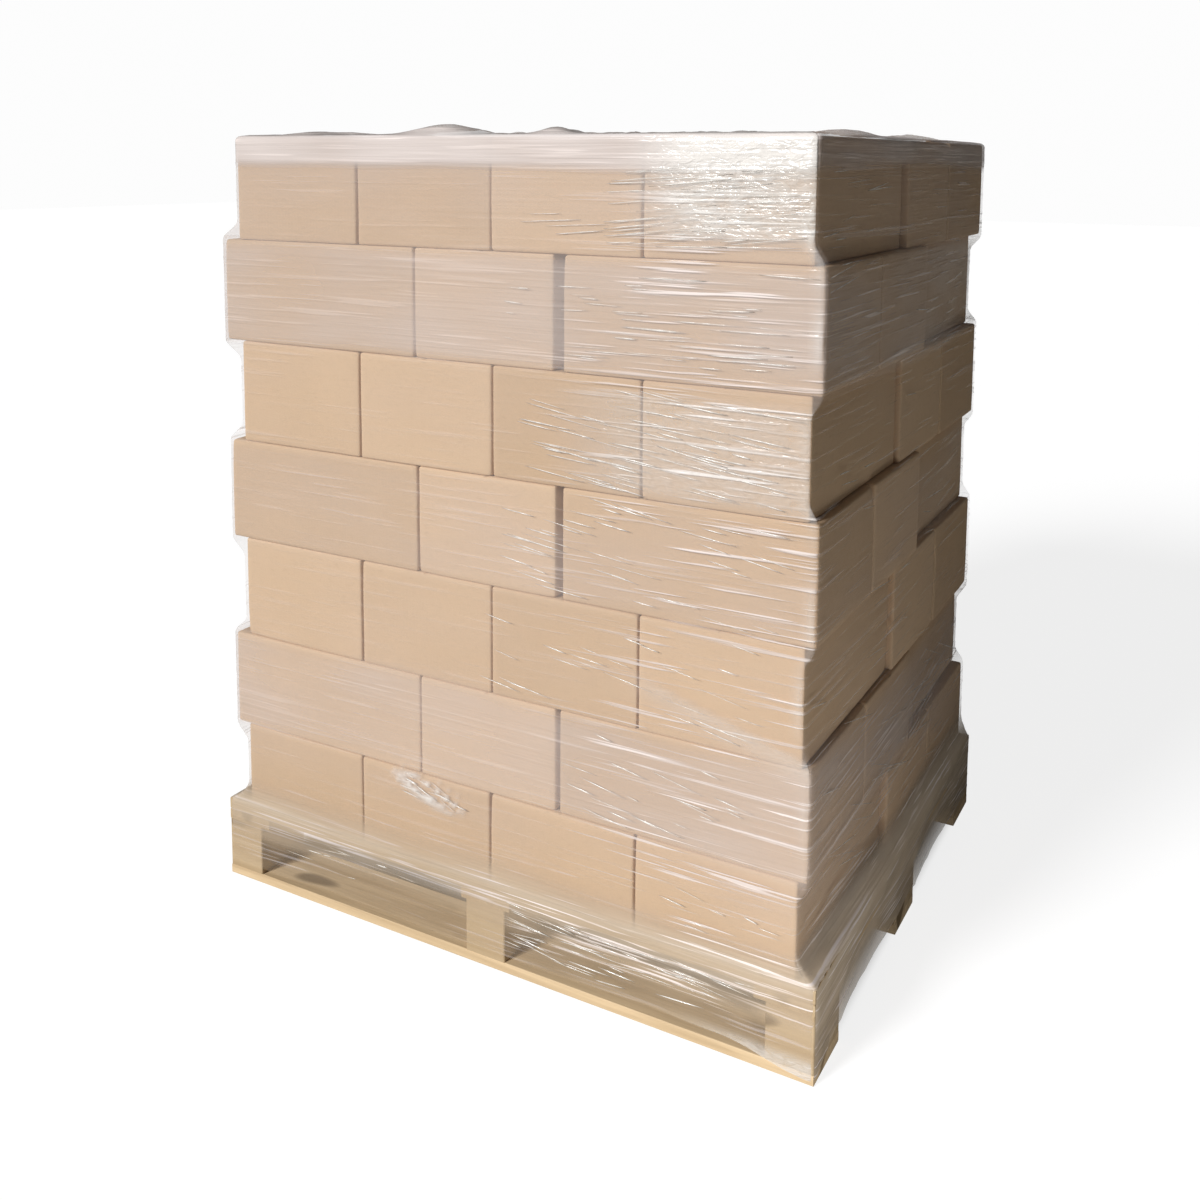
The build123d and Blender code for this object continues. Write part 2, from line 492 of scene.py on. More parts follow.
def haze_by_height(recipe, height):
    """Opacity of the film by height, as a smooth ramp."""
    node = recipe.tree.nodes.new("ShaderNodeValToRGB")
    ramp = node.color_ramp
    ramp.interpolation = "EASE"
    while len(ramp.elements) < len(FILM_HAZE):
        ramp.elements.new(1.0)
    for element, (z, haze) in zip(ramp.elements, FILM_HAZE):
        element.position = z / HAZE_TOP
        element.color = (haze, haze, haze, 1.0)
    recipe.link(recipe.math("DIVIDE", height, HAZE_TOP), node.inputs[0])
    return node.outputs["Color"]


def clear_film(choice):
    """Stretch film: clear where it is one layer, hazy where many lie together, streaked by its folds."""
    recipe = Recipe("stretch_film_haze")
    z = recipe.split()[2]
    wander = recipe.noise((1.5, 1.5, 2.5), detail=1)
    height = recipe.math("ADD", z, recipe.times(recipe.math("SUBTRACT", wander, 0.5), 0.05))
    haze = haze_by_height(recipe, height)
    patches = recipe.noise((3, 3, 7), (0.0, 0.12, 0.0), detail=1, roughness=0.6)
    fine = recipe.noise((2.2, 2.2, 95), (0.0, 0.09, 0.0), detail=2, roughness=0.65)
    thin = recipe.noise((5, 5, 210), (0.0, 0.12, 0.0), detail=1, roughness=0.5)
    stress = recipe.attribute("stress")
    veil = recipe.times(haze, recipe.spread(patches, 0.25, 0.75, 0.75, 1.3))
    fine_crests, thin_crests = recipe.spread(fine, 0.56, 0.74), recipe.spread(thin, 0.62, 0.72)
    streaks = recipe.times(fine_crests, recipe.times(stress, 0.55))
    lines = recipe.times(thin_crests, recipe.times(stress, 0.6))
    glare = recipe.attribute("glare")
    crumple = recipe.noise((38, 38, 90), detail=2, roughness=0.6, distortion=1.2)
    uneven = recipe.math("SUBTRACT", recipe.spread(crumple, 0.3, 0.62, 0.55, 1.15), 1.0)
    # The veil adds opacity for crumpled film and extra turns, and also painted glare on the front and painted
    # shade high on the right side
    bunched_and_painted_light = recipe.times(recipe.attribute("veil"), recipe.math("MULTIPLY_ADD", glare, uneven, 1.0))
    alpha = recipe.math("ADD", recipe.math("ADD", veil, streaks),
                        recipe.math("ADD", lines, bunched_and_painted_light), limit=True)
    pale = tuple(min(1.0, c * 1.14) for c in choice.film_colour)
    whiten = recipe.math("ADD", fine_crests, thin_crests, limit=True)
    tone = recipe.mix(recipe.spread(height, 0.16, 0.3),
                      tuple(choice.low_film_colour), tuple(choice.film_colour))
    hazy = recipe.mix(whiten, tone, pale)
    relief = recipe.math("ADD", recipe.math("ADD", fine, recipe.times(thin, 0.5)),
                         recipe.times(crumple, recipe.times(glare, 1.5)))
    recipe.bump(relief, 0.6, 0.003)
    # The glare attribute whitens the film: painted glare beside the near corner, on the top band's right end
    # and in a sheen band, and whiter crumpled film and edges elsewhere
    return recipe.finish(Base_Color=recipe.mix(glare, hazy, GLARE_COLOUR), Alpha=alpha,
                         Roughness=0.2, IOR=FILM_IOR)


def folded_film():
    """Film gathered into a narrow fold, which shows as a bright line."""
    recipe = Recipe("stretch_film_fold")
    glint = recipe.noise((40, 40, 40), detail=2)
    return recipe.finish(Base_Color=(0.95, 0.92, 0.88, 1.0), Roughness=0.15, IOR=FILM_IOR,
                         Alpha=recipe.spread(glint, 0.35, 0.65, 0.35, 0.85))


# Film surface

# Distance of the film from the pallet's ends and from its long sides
OFF_ENDS = 0.0012
OFF_SIDES = 0.0015
# Height over which the film narrows from the pallet's edge to the lowest cartons
FLARE = 0.052
CORNER_RADIUS = 0.011
FRONT_LENGTH = 1.17
# Side of the load, mesh columns along it, its length
FILM_SIDES = (
    ("front", 128, FRONT_LENGTH), ("right", 92, 1.0), ("back", 128, FRONT_LENGTH), ("left", 92, 1.0),
)
FILM_ROWS = 168
BEND_ROWS = 3
LAP_ROWS = 9
BEND_RADIUS = 0.008
LAP_STRESS = 0.6
# Fork openings of half a long side and of half a short side: start from the middle, and width
LONG_SIDE_OPENING = (0.045, 0.47)
SHORT_SIDE_OPENING = (0.065, 0.31)
OPENING_TOP = DECK_TOP - 0.02
# Middle along x, middle height, half length and half height of the crumpled bunch on the lowest cartons
BUNCH = (-0.115, 0.292, 0.085, 0.028)
# Where the edge of a turn of film starts on the front face, as x and height, and how steeply it falls
OVERLAP_START = (0.317, 0.585)
OVERLAP_FALL = 0.28


def layer_at(z):
    """Number, from 0, of the layer at one height."""
    for index, layer in enumerate(LAYERS):
        if z <= layer.high:
            return index
    return len(LAYERS) - 1


def film_reach(side, y, z, choice):
    """How far the film stands out along x on one side of the load, at one height."""
    if z <= DECK_TOP:
        return side * (PALLET_HALF_LENGTH + OFF_ENDS)
    index = layer_at(z)
    layer = LAYERS[index]
    own = layer.reach(side, y) * side
    out = own
    if index > 0:
        below = max(own, LAYERS[index - 1].reach(side, y) * side)
        out = blend(below, out, ease(0.0, choice.film_bridge, z - layer.low))
    if index < len(LAYERS) - 1:
        above = max(own, LAYERS[index + 1].reach(side, y) * side)
        out = max(out, blend(above, own, ease(0.0, choice.film_bridge, layer.high - z)))
    out += choice.film_lift
    if index == 0:
        t = clamp((z - DECK_TOP) / FLARE)
        out = max(out, blend(PALLET_HALF_LENGTH + OFF_ENDS, out, 1 - (1 - t) ** 2))
    return side * out


def film_depth(z, choice):
    """How far the film stands out along y, in front and behind."""
    load = max(abs(LAYERS[0].four_y), PALLET_HALF_WIDTH) + choice.film_lift
    return blend(PALLET_HALF_WIDTH + OFF_SIDES, load, clamp((z - DECK_TOP) / FLARE))


def fold_stress(x, z, side_name):
    """How creased the film is, from 0, taut and clear, to 1, full of fine folds."""
    if side_name == "front":
        stress = 0.12 + 0.88 * ease(0.05, 0.4, x)
        if z > LAYERS[-1].low:
            stress *= 0.35 + 0.65 * ease(0.25, 0.4, x)
        if z < DECK_TOP:
            stress = 0.2 + 0.75 * ease(-0.05, 0.15, x) * ease(0.055, 0.1, z)
    elif side_name == "right":
        stress = 0.45 + 0.35 * (1 - ease(0.2, 0.7, z))
    else:
        stress = 0.35
    return stress


def bunch_share(side_name, x, z):
    """1 in the middle of the crumpled bunch, 0 outside it."""
    if side_name != "front":
        return 0.0
    middle, height, half_length, half_height = BUNCH
    across = (x - middle) / half_length
    up = (z - height + 0.2 * (x - middle)) / half_height
    torn = 1 - abs(noise.noise(Vector((x * 13, 0, (z + 0.35 * x) * 46))))
    return clamp(1 - across ** 2 - up ** 2) ** 0.5 * ease(0.66, 0.95, torn)


def film_veil(side_name, point, to_corner):
    """Opacity that crumpled film and extra turns add, and how white they are; beside the near corner, on the
    top band's right end and in a sheen band the added opacity and white are painted glare, and high on the
    right side a lower opacity paints shade.

    The ranges are places on the load in metres, read off the photo through its camera.
    """
    x, y, z = point
    veil = glare = 0.0
    if side_name in ("back", "left"):
        veil = 0.6 * (1 - ease(0.13, 0.2, z))
    elif side_name == "right":
        # the lower opacity high on the right side is painted shade
        veil = 0.5 * (1 - ease(0.15, 0.23, z)) - 0.1 * ease(0.3, 0.5, z)
        veil += 0.12 * ease(0.07, 0.0, abs(z - 0.36 + OVERLAP_FALL * y))
    else:
        veil = 0.22 * ease(0.115, 0.135, z) * (1 - ease(0.165, 0.2, z))
        deck_line = 1 - clamp(abs(z - DECK_TOP - 0.004) / 0.012)
        # painted glare: a bright strip beside the near vertical corner
        corner = (1 - ease(0.012, 0.026, to_corner)) * ease(0.001, 0.008, to_corner) * ease(0.3, 0.5, z)
        corner *= ease(-0.25, 0.3, noise.noise(Vector((4, 7, z * 9))))
        # painted glare on the top band's right end
        right_end_glint = ease(0.24, 0.4, x) * ease(1.27, 1.3, z)
        over_line = z - OVERLAP_START[1] + OVERLAP_FALL * (x - OVERLAP_START[0])
        overlap = ease(0.26, 0.34, x) * ease(-0.05, -0.01, over_line) * (1 - ease(-0.004, 0.006, over_line))
        bunch = bunch_share(side_name, x, z)
        near_edge = ease(0.3, 0.5, x) * (1 - ease(0.03, 0.05, z))
        # painted sheen on the right of the front, between heights 0.87 and 1.06
        sheen = ease(0.1, 0.3, x) * ease(0.87, 0.9, z) * (1 - ease(1.03, 1.06, z))
        veil += (0.12 * deck_line + 0.2 * corner + 0.34 * right_end_glint + 0.2 * overlap
                 + 0.65 * bunch + 0.24 * sheen + 0.3 * near_edge)
        glare = clamp(0.15 * deck_line + 0.55 * corner + 0.85 * right_end_glint + 0.5 * overlap
                      + bunch + near_edge + 0.6 * sheen)
    return veil, glare


def sag_share(distance, z, opening):
    """1 in the middle of a fork opening, 0 at its ends and above it."""
    start, width = opening
    if z >= OPENING_TOP or not start < distance < start + width:
        return 0.0
    return math.sin(math.pi * (distance - start) / width) * ease(0.0, 0.03, OPENING_TOP - z)


def film_relief(point, side_name):
    """Small waves and folds of the film, outwards, in metres."""
    broad = 0.0012 * noise.noise(point * 4.0)
    long_side = side_name in ("front", "back")
    slant = -0.09 * point.x if long_side else -0.22 * point.y
    row = (point.z + slant) * 48
    wave = noise.noise(Vector((point.x * 3.5, point.y * 3.5, row)))
    fold = (1 - abs(wave)) ** 5 * 0.0022
    if long_side:
        share = sag_share(abs(point.x), point.z, LONG_SIDE_OPENING)
        sag = -0.006 * share
        if share:
            sag += 0.002 * noise.noise(Vector((point.x * 9, 0, point.z * 70)))
    else:
        sag = -0.005 * sag_share(abs(point.y), point.z, SHORT_SIDE_OPENING)
    crumple = bunch_share(side_name, point.x, point.z) * 0.006 * abs(noise.noise(point * 45))
    return broad + fold * fold_stress(point.x, point.z, side_name) + sag + crumple


def corner_steps(count, corner):
    """Fractions along one side of the load, closer together at its ends."""
    ends = [0.0, 0.25 * corner, 0.55 * corner, corner]
    inside = [blend(corner, 1 - corner, i / count) for i in range(1, count)]
    return ends + inside + [1 - e for e in reversed(ends)][:-1]


def film_columns():
    """Where the film's mesh columns stand: side of the load and fraction along it."""
    columns = []
    for side_name, count, length in FILM_SIDES:
        for t in corner_steps(count, CORNER_RADIUS / length):
            columns.append((side_name, t))
    return columns


def film_point(side_name, t, z, choice, inward=0.0):
    """A point of the film before its folds, moved inward over the top, and its outward direction."""
    depth = film_depth(z, choice)
    if side_name in ("front", "back"):
        y = -depth if side_name == "front" else depth
        left, right = film_reach(-1, y, z, choice), film_reach(1, y, z, choice)
        x = blend(left, right, t if side_name == "front" else 1 - t)
    else:
        y = blend(-depth, depth, t if side_name == "right" else 1 - t)
        left, right = film_reach(-1, y, z, choice), film_reach(1, y, z, choice)
        x = right if side_name == "right" else left
    core = Vector((clamp(x, left + CORNER_RADIUS, right - CORNER_RADIUS),
                   clamp(y, -depth + CORNER_RADIUS, depth - CORNER_RADIUS), z))
    over = Vector((x, y, z)) - core
    outward = over.normalized()
    point = core + outward * CORNER_RADIUS
    if inward:
        point.x *= 1 - inward / abs(right if x > 0 else left)
        point.y *= 1 - inward / depth
    return point, outward


def lower_edge(side_name, t):
    """Height of the film's lower edge above the floor."""
    wobble = 0.006 * noise.noise(Vector((t * 9, len(side_name), 0.3)))
    if side_name == "front":
        return 0.031 + wobble - 0.021 * ease(0.86, 1.0, t)
    if side_name == "right":
        return 0.036 + wobble - 0.026 * (1 - ease(0.0, 0.1, t))
    return 0.04 + wobble


# Loose humps of the top lap: side, middle and half width along it, height
TOP_HUMPS = (
    ("front", 0.385, 0.09, 0.016), ("front", 0.6, 0.05, 0.009), ("front", 0.12, 0.05, 0.005),
    ("right", 0.22, 0.10, 0.009), ("right", 0.6, 0.12, 0.006),
    ("back", 0.3, 0.12, 0.014), ("back", 0.7, 0.1, 0.01), ("left", 0.5, 0.15, 0.012),
)


def lap_height(side_name, t, across):
    """Height of the loose top lap above the cartons, across being 0 at its bend and 1 at its edge."""
    rise = 0.0
    for side, middle, half, height in TOP_HUMPS:
        if side == side_name:
            away = abs(t - middle) / half
            if away < 1:
                rise += height * (1 - away ** 2) ** 2
    ripple = 0.007 * abs(noise.noise(Vector((t * 34, len(side_name) * 3.1, across * 3))))
    return rise * math.sin(math.pi * clamp(across * 0.8 + 0.1)) + ripple * across + 0.0015


def film_mesh(choice):
    """The wound film as one open tube, from its lower edge up and over the top edge."""
    columns = film_columns()
    top = LOAD_TOP + choice.film_lift
    bend_base = top - BEND_RADIUS
    verts, stresses, veils, glares, faces = [], [], [], [], []
    width = len(columns)
    total_rows = FILM_ROWS + 1 + BEND_ROWS + LAP_ROWS
    for row in range(total_rows):
        for side_name, t in columns:
            if row <= FILM_ROWS:
                z = blend(lower_edge(side_name, t), bend_base, row / FILM_ROWS)
                point, outward = film_point(side_name, t, z, choice)
                point += outward * film_relief(point, side_name)
                stress = fold_stress(point.x, z, side_name)
            else:
                step = row - FILM_ROWS
                if step <= BEND_ROWS:
                    angle = step / BEND_ROWS * math.pi / 2
                    inward = BEND_RADIUS * (1 - math.cos(angle))
                    height = bend_base + BEND_RADIUS * math.sin(angle)
                else:
                    across = (step - BEND_ROWS) / LAP_ROWS
                    uneven = noise.noise(Vector((t * 7, len(side_name) * 2.7, 4)))
                    inward = BEND_RADIUS + choice.film_lap * (1 + 0.3 * uneven) * across
                    height = top + lap_height(side_name, t, across)
                point, outward = film_point(side_name, t, bend_base, choice, inward)
                point.z = height
                stress = LAP_STRESS
            veil, glare = film_veil(side_name, point, (1 - t) * FRONT_LENGTH)
            if row > FILM_ROWS:
                glare *= 0.5
            verts.append(point)
            stresses.append(stress)
            veils.append(veil)
            glares.append(glare)
    for row in range(total_rows - 1):
        for column in range(width):
            right = (column + 1) % width
            faces.append((row * width + column, row * width + right,
                          (row + 1) * width + right, (row + 1) * width + column))
    mesh = bpy.data.meshes.new("wound_film")
    mesh.from_pydata(verts, [], faces)
    for name, values in (("stress", stresses), ("veil", veils), ("glare", glares)):
        mesh.attributes.new(name, "FLOAT", "POINT").data.foreach_set("value", values)
    mesh.shade_smooth()
    return mesh


# Groups of bright folds: side, range along it, range of height, how many, slope and its spread
# in degrees, shortest and longest; lengths are in metres
FOLD_GROUPS = (
    ("front", (0.27, 0.56), (1.268, 1.395), 60, 4, 3, 0.05, 0.17),
    ("front", (0.02, 0.29), (1.275, 1.37), 7, 3, 3, 0.05, 0.12),
    ("front", (0.17, 0.56), (1.085, 1.235), 48, 0, 2, 0.03, 0.13),
    ("front", (0.03, 0.14), (1.11, 1.2), 5, -3, 2, 0.02, 0.05),
    ("front", (0.10, 0.54), (0.885, 1.045), 70, -7, 3, 0.03, 0.13),
    ("front", (0.06, 0.54), (0.70, 0.86), 40, -8, 3, 0.03, 0.12),
    ("front", (0.03, 0.5), (0.515, 0.67), 26, -9, 3, 0.03, 0.10),
    ("front", (0.14, 0.5), (0.335, 0.48), 22, -9, 4, 0.02, 0.10),
    ("front", (0.3, 0.54), (0.17, 0.3), 7, -9, 5, 0.02, 0.06),
    ("front", (-0.17, -0.05), (0.268, 0.312), 14, -14, 12, 0.02, 0.06),
    ("front", (0.04, 0.5), (0.08, 0.138), 44, -1, 7, 0.03, 0.12),
    ("front", (0.04, 0.52), (0.04, 0.08), 12, -2, 7, 0.03, 0.1),
    ("front", (-0.5, -0.06), (0.05, 0.13), 8, 0, 6, 0.02, 0.08),
    ("right", (-0.46, -0.2), (1.2, 1.39), 12, 4, 4, 0.05, 0.14),
    ("right", (-0.45, 0.3), (0.9, 1.18), 7, -3, 6, 0.04, 0.12),
    ("right", (-0.45, 0.45), (0.45, 0.88), 12, -9, 7, 0.05, 0.18),
    ("right", (-0.45, 0.45), (0.16, 0.44), 22, -16, 8, 0.06, 0.22),
    ("back", (-0.5, 0.5), (0.2, 1.38), 60, -5, 5, 0.04, 0.15),
    ("left", (-0.42, 0.42), (0.2, 1.38), 50, -5, 5, 0.04, 0.15),
)
FOLD_END_ROOM = 0.008
FOLD_SINK = 0.0002
FOLD_WIDTH = 0.0009
FOLD_HEIGHT = 0.0007
# Least and greatest share of that width and height
FOLD_VARIETY = (0.5, 1.3)


def fold_places(choice):
    """Middle, turn and length of each bright fold."""
    rng = random.Random(choice.film_seed)
    places = []
    for side, (a, b), (low, high), count, slope, spread, shortest, longest in FOLD_GROUPS:
        for _ in range(count):
            along, z = rng.uniform(a, b), rng.uniform(low, high)
            length = rng.uniform(shortest, longest)
            tilt = math.radians(rng.uniform(slope - spread, slope + spread))
            depth = film_depth(z, choice)
            room = length / 2 + FOLD_END_ROOM
            if side in ("front", "back"):
                sign = -1 if side == "front" else 1
                along = clamp(along, film_reach(-1, sign * depth, z, choice) + room,
                              film_reach(1, sign * depth, z, choice) - room)
                point = Vector((along, sign * depth, z))
                outward, turn = Vector((0, sign, 0)), (0.0, -tilt, 0.0)
            else:
                sign = 1 if side == "right" else -1
                along = clamp(along, room - depth, depth - room)
                point = Vector((film_reach(sign, along, z, choice), along, z))
                outward, turn = Vector((sign, 0, 0)), (0.0, -tilt, math.pi / 2)
            point += outward * (film_relief(point, side) - FOLD_SINK)
            places.append((point, turn, length))
    return places


class TreeMaker(NodeMaker):
    """A geometry node tree with named inputs; an underscore in a call stands for a space."""

    def __init__(self, name):
        self.tree = bpy.data.node_groups.new(name, "GeometryNodeTree")
        self.sockets = {}
        self.add_input("Geometry", "NodeSocketGeometry")
        self.tree.interface.new_socket("Geometry", in_out="OUTPUT", socket_type="NodeSocketGeometry")
        self.start = self.tree.nodes.new("NodeGroupInput")
        self.end = self.tree.nodes.new("NodeGroupOutput")

    def add_input(self, name, kind):
        self.sockets[name] = self.tree.interface.new_socket(name, in_out="INPUT", socket_type=kind)

    def node(self, kind, **inputs):
        made = self.tree.nodes.new(kind)
        for key, value in inputs.items():
            self.feed(made.inputs[key.replace("_", " ")], value)
        return made

    def named(self, name, kind):
        made = self.tree.nodes.new("GeometryNodeInputNamedAttribute")
        made.data_type = kind
        made.inputs["Name"].default_value = name
        return made.outputs["Attribute"]

    def combine(self, *values):
        made = self.tree.nodes.new("ShaderNodeCombineXYZ")
        for socket, value in zip(made.inputs, values):
            self.feed(socket, value)
        return made.outputs[0]

    def finish(self, shape, size, material, **turn):
        """Sets a shape at every point and ends the tree in plain, smooth faces of one material."""
        placed = self.node("GeometryNodeInstanceOnPoints", Points=self.start.outputs["Geometry"],
                           Instance=shape.outputs["Mesh"], Scale=size, **turn)
        whole = self.node("GeometryNodeRealizeInstances", Geometry=placed.outputs[0])
        smooth = self.node("GeometryNodeSetShadeSmooth", Geometry=whole.outputs[0])
        finished = self.node("GeometryNodeSetMaterial", Geometry=smooth.outputs[0], Material=material)
        self.link(finished.outputs[0], self.end.inputs[0])
        return self

    def use_on(self, piece, **values):
        """Runs the tree on a piece and keeps its plain result."""
        modifier = piece.modifiers.new(self.tree.name, "NODES")
        modifier.node_group = self.tree
        for name, value in values.items():
            modifier[self.sockets[name.replace("_", " ")].identifier] = value
        settle(piece)


def fold_tree(material):
    """Lays a slim rounded fold at every point of a mesh."""
    maker = TreeMaker("Film folds")
    for name, kind in (("Fold width", "NodeSocketFloat"), ("Fold height", "NodeSocketFloat"),
                       ("Seed", "NodeSocketInt")):
        maker.add_input(name, kind)
    shape = maker.node("GeometryNodeMeshUVSphere", Segments=6, Rings=5, Radius=1.0)
    vary = maker.tree.nodes.new("FunctionNodeRandomValue")
    vary.data_type = "FLOAT"
    low, high = [s for s in vary.inputs if s.name in ("Min", "Max") and s.type == "VALUE"][:2]
    low.default_value, high.default_value = FOLD_VARIETY
    seed = next(s for s in vary.inputs if s.name == "Seed")
    maker.link(maker.start.outputs["Seed"], seed)
    factor = next(s for s in vary.outputs if s.type == "VALUE")
    size = maker.combine(maker.times(maker.named("fold_length", "FLOAT"), 0.5),
                         maker.times(maker.start.outputs["Fold height"], factor),
                         maker.times(maker.start.outputs["Fold width"], factor))
    return maker.finish(shape, size, material, Rotation=maker.named("fold_turn", "FLOAT_VECTOR"))


NAIL_SEED = 3
# Height of a nail's domed head as a share of its radius
DOME_SHARE = 0.22
BLOCK_HALF_LENGTH = 0.04
BLOCK_HALF_WIDTH = 0.06
DECK_BOARD_COUNT = 7
DECK_BOARD_HALF_WIDTH = 0.056
BOTTOM_NAIL_HEIGHT = 0.0004


def nail_tree(material):
    """Sets a low domed nail head at every point of a mesh."""
    maker = TreeMaker("Nail heads")
    maker.add_input("Head radius", "NodeSocketFloat")
    shape = maker.node("GeometryNodeMeshUVSphere", Segments=8, Rings=5, Radius=1.0)
    radius = maker.start.outputs["Head radius"]
    size = maker.combine(radius, radius, maker.times(radius, DOME_SHARE))
    return maker.finish(shape, size, material)


def nail_places():
    """Nails through the boards into the nine blocks, from above and from below."""
    places = []
    rng = random.Random(NAIL_SEED)
    block_x = PALLET_HALF_LENGTH - BLOCK_HALF_LENGTH
    block_y = PALLET_HALF_WIDTH - BLOCK_HALF_WIDTH
    board_y = PALLET_HALF_WIDTH - DECK_BOARD_HALF_WIDTH
    for x in (-block_x, 0.0, block_x):
        for index in range(DECK_BOARD_COUNT):
            y = blend(-board_y, board_y, index / (DECK_BOARD_COUNT - 1))
            for dx in (-0.018, 0.018):
                places.append((x + dx + rng.uniform(-0.003, 0.003), y + rng.uniform(-0.02, 0.02), DECK_TOP))
        for y in (-block_y, 0.0, block_y):
            for dy in (-0.035, 0.0, 0.035):
                places.append((x + rng.uniform(-0.015, 0.015), y + dy, BOTTOM_NAIL_HEIGHT))
    return places


def point_mesh(name, points):
    """A mesh of loose points for a node tree to work on."""
    mesh = bpy.data.meshes.new(name)
    mesh.from_pydata(points, [], [])
    return mesh


# The lower boards are painted paler than the rest: painted highlight for the light that falls on them through
# the fork openings
BOTTOM_LIT_PALENESS = 1.45


class OBJECT_OT_pallet_load_pallet(bpy.types.Operator):
    """Gives the pallet's boards and blocks their wood, and adds the nail heads"""

    bl_idname = "object.pallet_load_pallet"
    bl_label = "Pallet"

    def execute(self, context):
        choice = settings()
        along_x = pallet_wood("pallet_wood_long", "x", choice)
        along_y = pallet_wood("pallet_wood_cross", "y", choice)
        # painted highlight: the bottom boards get a paler copy of the long wood
        bottom = pallet_wood("pallet_wood_bottom_painted_lit", "x", choice, BOTTOM_LIT_PALENESS)
        woods = {"pallet_cross_boards": along_y, "pallet_bottom_boards": bottom}
        for node in PALLET_NODES:
            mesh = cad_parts[node].data
            mesh.materials.clear()
            mesh.materials.append(woods.get(node, along_x))
        nails = new_piece("pallet_nails", point_mesh("pallet_nails", nail_places()))
        nail_tree(nail_steel()).use_on(nails, Head_radius=choice.nail_radius)
        return {"FINISHED"}


class OBJECT_OT_pallet_load_cartons(bpy.types.Operator):
    """Builds every layer of packed cartons"""

    bl_idname = "object.pallet_load_cartons"
    bl_label = "Cartons"

    def execute(self, context):
        choice = settings()
        rng = random.Random(choice.carton_seed)
        board = kraft_board(choice)
        for number in range(len(LAYERS)):
            carton_piece(number, rng, choice, board)
        return {"FINISHED"}


class OBJECT_OT_pallet_load_film(bpy.types.Operator):
    """Winds the stretch film round the load, with its bright folds"""

    bl_idname = "object.pallet_load_film"
    bl_label = "Stretch film"

    def execute(self, context):
        choice = settings()
        mesh = film_mesh(choice)
        mesh.materials.append(clear_film(choice))
        film = new_piece("wound_film", mesh)
        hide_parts("stretch_film")
        places = fold_places(choice)
        points = point_mesh("film_folds", [place[0] for place in places])
        points.attributes.new("fold_turn", "FLOAT_VECTOR", "POINT").data.foreach_set(
            "vector", [value for place in places for value in place[1]])
        points.attributes.new("fold_length", "FLOAT", "POINT").data.foreach_set(
            "value", [place[2] for place in places])
        folds = new_piece("film_folds", points)
        fold_tree(folded_film()).use_on(
            folds, Fold_width=FOLD_WIDTH, Fold_height=FOLD_HEIGHT, Seed=choice.film_seed)
        return {"FINISHED"}


# Stage

CAMERA_PLACE = Vector((1.177, -2.232, 1.398))
CAMERA_TURN = math.radians(28.89)
CAMERA_DIP = math.radians(6.19)
CAMERA_ROLL = math.radians(0.35)
FOCAL_PIXELS = 1272
FRAME_PIXELS = 1200
AXIS_ROW = 300
SENSOR_WIDTH = 36.0
FAR_CLIP = 100
BACKDROP_LEVEL = 0.98
FLOOR_HALF_SIZE = 30.0
FLOOR_DROP = 0.0005
# Colour of the floor as it lights the load and as the camera sees it, and the glow it is seen with
FLOOR_BOUNCE = (0.4, 0.38, 0.34)
FLOOR_SEEN = (0.3, 0.3, 0.3)
FLOOR_GLOW = 0.83
SHADE_EDGE = 0.05
KEY_DIRECTION = (0.30, 0.85, -0.46)
KEY_SPREAD = math.radians(14)
LOW_PLACE = (1.2, -0.8, 0.12)
LOW_DIRECTION = (-0.62, 0.6, 0.05)
LOW_SIZE = 0.4


def add_camera():
    """The photograph's viewpoint."""
    data = bpy.data.cameras.new("load_camera")
    data.sensor_width = SENSOR_WIDTH
    data.lens = SENSOR_WIDTH * FOCAL_PIXELS / FRAME_PIXELS
    data.shift_y = (AXIS_ROW - FRAME_PIXELS / 2) / FRAME_PIXELS
    data.clip_end = FAR_CLIP
    camera = add_object("load_camera", data)
    level = math.cos(CAMERA_DIP)
    forward = Vector((-math.sin(CAMERA_TURN) * level, math.cos(CAMERA_TURN) * level, -math.sin(CAMERA_DIP)))
    right = Vector((math.cos(CAMERA_TURN), math.sin(CAMERA_TURN), 0))
    level_basis = Matrix((right, right.cross(forward), -forward)).transposed()
    basis = level_basis @ Matrix.Rotation(CAMERA_ROLL, 3, "Z")
    camera.matrix_world = Matrix.Translation(CAMERA_PLACE) @ basis.to_4x4()
    bpy.context.scene.camera = camera


def seen_ray(tree):
    """1 for the rays that the camera sees by, 0 for those that light the load."""
    return tree.nodes.new("ShaderNodeLightPath").outputs["Is Camera Ray"]


def add_room(choice):
    """Even light, and a white backdrop for rays that look at it."""
    world = bpy.data.worlds.new("load_room")
    bpy.context.scene.world = world
    world.use_nodes = True
    tree = world.node_tree
    level = tree.nodes.new("ShaderNodeMapRange")
    tree.links.new(seen_ray(tree), level.inputs["Value"])
    level.inputs["To Min"].default_value = choice.room_strength
    level.inputs["To Max"].default_value = BACKDROP_LEVEL
    tree.nodes["Background"].inputs["Color"].default_value = (1, 1, 1, 1)
    tree.links.new(level.outputs[0], tree.nodes["Background"].inputs["Strength"])


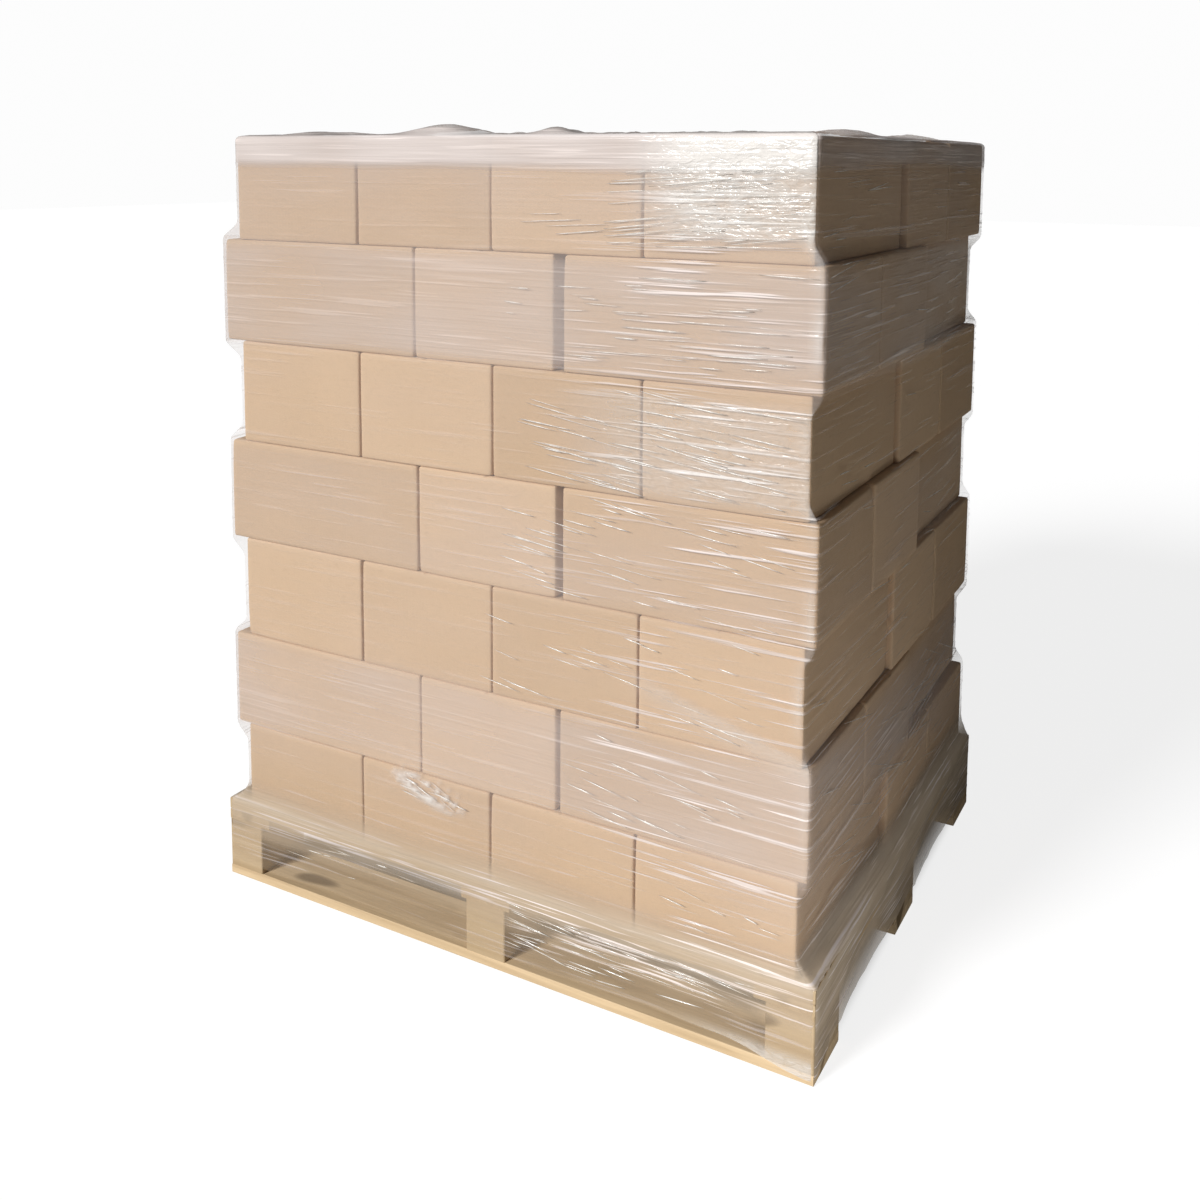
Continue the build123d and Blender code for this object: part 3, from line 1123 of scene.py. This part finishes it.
def add_floor():
    """A pale floor that keeps the load's shadow and is dark under the pallet."""
    mesh = bpy.data.meshes.new("studio_floor")
    corners = [(x * FLOOR_HALF_SIZE, y * FLOOR_HALF_SIZE, 0) for x, y in ((-1, -1), (1, -1), (1, 1), (-1, 1))]
    mesh.from_pydata(corners, [], [(0, 1, 2, 3)])
    recipe = Recipe("studio_floor")
    tree = recipe.tree
    tree.nodes.remove(recipe.shader)
    seen = seen_ray(tree)
    matt = tree.nodes.new("ShaderNodeBsdfDiffuse")
    recipe.link(recipe.mix(seen, FLOOR_BOUNCE, FLOOR_SEEN), matt.inputs["Color"])
    past = [recipe.spread(recipe.math("ABSOLUTE", place), half - SHADE_EDGE, half)
            for place, half in zip(recipe.split(), (PALLET_HALF_LENGTH, PALLET_HALF_WIDTH))]
    open_floor = recipe.math("MAXIMUM", *past)
    glow = tree.nodes.new("ShaderNodeEmission")
    lift = recipe.times(recipe.times(seen, FLOOR_GLOW), open_floor)
    recipe.link(lift, glow.inputs["Strength"])
    both = tree.nodes.new("ShaderNodeAddShader")
    recipe.link(matt.outputs[0], both.inputs[0])
    recipe.link(glow.outputs[0], both.inputs[1])
    recipe.link(both.outputs[0], tree.nodes["Material Output"].inputs["Surface"])
    mesh.materials.append(recipe.material)
    floor = add_object("studio_floor", mesh)
    floor.location.z = -FLOOR_DROP


def aim(lamp, direction):
    """Turns a lamp so that it shines in one direction."""
    lamp.rotation_euler = Vector(direction).to_track_quat("-Z", "Y").to_euler()


def add_lamps(choice):
    """A broad lamp in front of the long face, to its left, and a weak low one beside the near corner."""
    sun = bpy.data.lights.new("key_lamp", "SUN")
    sun.energy = choice.key_strength
    sun.angle = KEY_SPREAD
    aim(add_object("key_lamp", sun), KEY_DIRECTION)
    glow = bpy.data.lights.new("low_lamp", "AREA")
    glow.energy = choice.low_strength
    glow.size = LOW_SIZE
    low = add_object("low_lamp", glow)
    low.location = LOW_PLACE
    aim(low, LOW_DIRECTION)


class OBJECT_OT_pallet_load_stage(bpy.types.Operator):
    """Adds the camera, the lamps, the pale floor and the backdrop"""

    bl_idname = "object.pallet_load_stage"
    bl_label = "Stage"

    def execute(self, context):
        choice = settings()
        context.scene.view_settings.view_transform = "Standard"
        add_camera()
        add_room(choice)
        add_floor()
        add_lamps(choice)
        return {"FINISHED"}


OPERATORS = (
    OBJECT_OT_pallet_load_stage,
    OBJECT_OT_pallet_load_pallet,
    OBJECT_OT_pallet_load_cartons,
    OBJECT_OT_pallet_load_film,
)


class VIEW3D_PT_pallet_load(bpy.types.Panel):
    """Lists the steps that build the load"""

    bl_idname = "VIEW3D_PT_pallet_load"
    bl_label = "Pallet Load"
    bl_space_type = "VIEW_3D"
    bl_region_type = "UI"
    bl_category = "Pallet Load"

    def draw(self, context):
        column = self.layout.column()
        for operator in OPERATORS:
            column.operator(operator.bl_idname)
        for name in PalletLoadSettings.__annotations__:
            column.prop(context.scene.pallet_load, name)


CLASSES = (PalletLoadSettings,) + OPERATORS + (VIEW3D_PT_pallet_load,)


def register():
    for each in CLASSES:
        bpy.utils.register_class(each)
    bpy.types.Scene.pallet_load = bpy.props.PointerProperty(type=PalletLoadSettings)


def unregister():
    del bpy.types.Scene.pallet_load
    for each in reversed(CLASSES):
        bpy.utils.unregister_class(each)


def main():
    """Runs every step in order."""
    register()
    bpy.ops.object.pallet_load_stage()
    bpy.ops.object.pallet_load_pallet()
    bpy.ops.object.pallet_load_cartons()
    bpy.ops.object.pallet_load_film()


if __name__ == "__main__":
    main()
